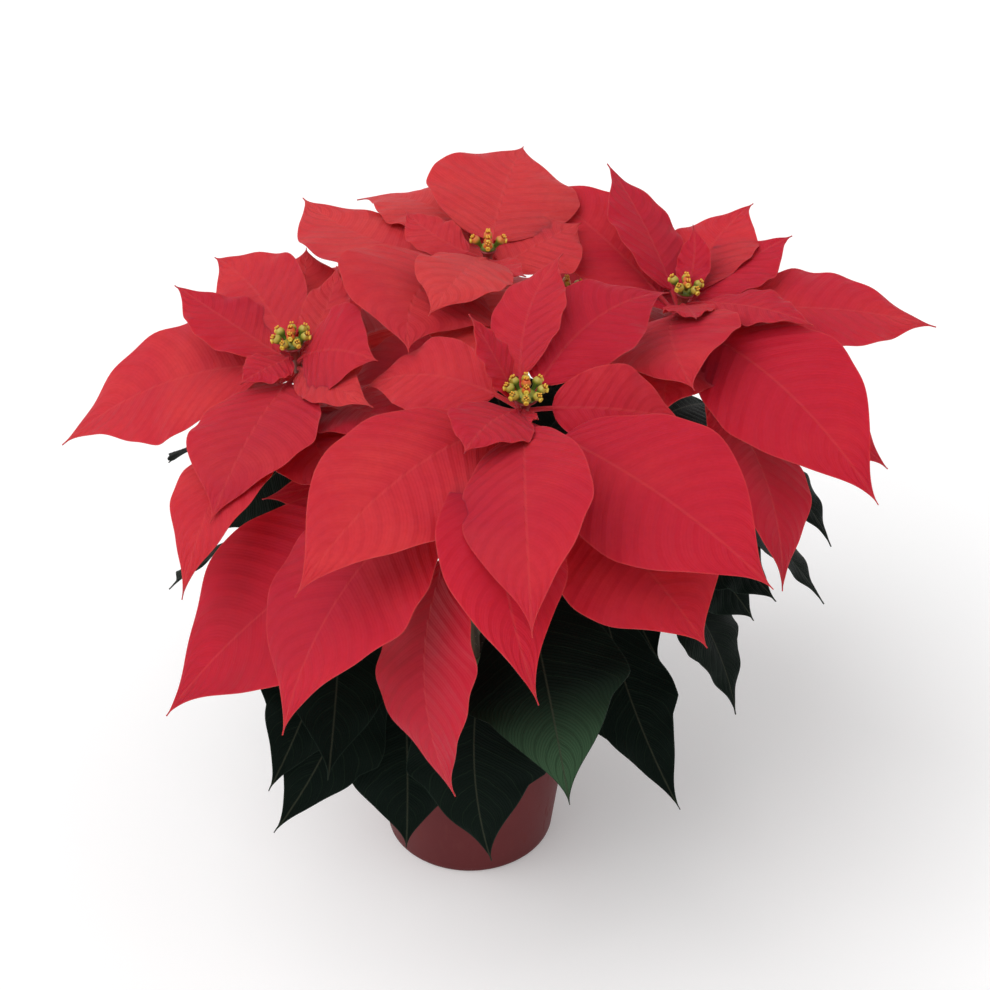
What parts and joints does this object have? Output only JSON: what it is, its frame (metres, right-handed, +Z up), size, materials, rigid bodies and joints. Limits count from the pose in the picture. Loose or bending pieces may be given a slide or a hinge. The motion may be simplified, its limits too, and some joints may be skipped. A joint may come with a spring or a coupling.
{
  "type": "poinsettia",
  "caption": "Potted poinsettia: a tapered plastic pot of soil, a woody stem with leafy shoots, and broad red bracts round clusters of small yellow-green flower cups.",
  "frame": {"origin": "centre of the pot's flat underside, on the surface it stands on", "axes": "+Z up, -Y towards the front of the plant, +X to the right as seen from the front"},
  "size_m": [0.4764, 0.4637, 0.4012],
  "materials": {
    "pot_plastic": "satin",
    "soil": "matte",
    "bark": "matte",
    "leaf_green": "satin",
    "bract_red": "matte",
    "cup_yellow": "satin"
  },
  "bodies": {
    "root": {"pot": "pot_plastic", "soil": "soil", "woody_stem": "bark", "leafy_shoot_front": "leaf_green", "leafy_shoot_left": "leaf_green", "leafy_shoot_top": "leaf_green", "leafy_shoot_right": "leaf_green", "leafy_shoot_back_left": "leaf_green", "leafy_shoot_back_right": "leaf_green", "head_front": "bract_red", "head_left": "bract_red", "head_top": "bract_red", "head_right": "bract_red", "head_back_left": "bract_red", "head_back_right": "bract_red", "cups_front": "cup_yellow", "cups_left": "cup_yellow", "cups_top": "cup_yellow", "cups_right": "cup_yellow", "cups_back_left": "cup_yellow", "cups_back_right": "cup_yellow"}
  },
  "joints": []
}
